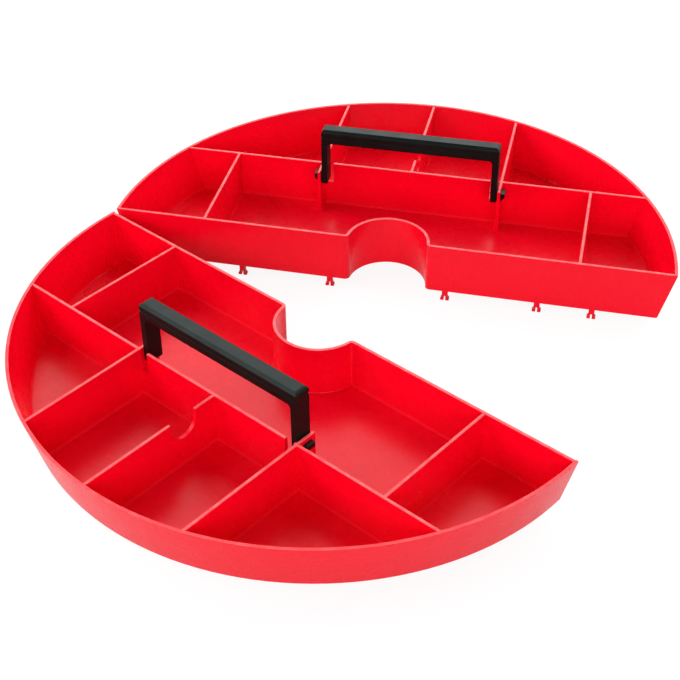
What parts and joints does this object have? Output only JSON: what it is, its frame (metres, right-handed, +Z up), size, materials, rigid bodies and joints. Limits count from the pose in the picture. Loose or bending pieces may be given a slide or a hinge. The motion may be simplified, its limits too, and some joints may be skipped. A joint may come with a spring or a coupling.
{
  "type": "round parts storage tray",
  "caption": "Round parts tray that splits into halves round a column, with moulded compartments, a finger gap, split pegs underneath and a snap-in carry handle on each half.",
  "frame": {"origin": "bottom centre of the pair's box, on the surface that the pegs stand on", "axes": "+Z up, +Y from the front half towards the rear half, +X along the front half's straight wall, towards the side where the V is open"},
  "size_m": [0.3991, 0.4686, 0.0756],
  "materials": {
    "tray_plastic": "injection-moulded red polypropylene, satin gloss",
    "handle_plastic": "injection-moulded black plastic, fine matt grain"
  },
  "bodies": {
    "front_half": {"front_tray": "tray_plastic", "front_handle": "handle_plastic"},
    "rear_half": {"rear_tray": "tray_plastic", "rear_handle": "handle_plastic"}
  },
  "joints": [
    {"name": "rear_lift", "type": "slide", "parent": "front_half", "child": "rear_half", "axis": [0, 0, 1], "range_m": [0, 0.15]}
  ]
}
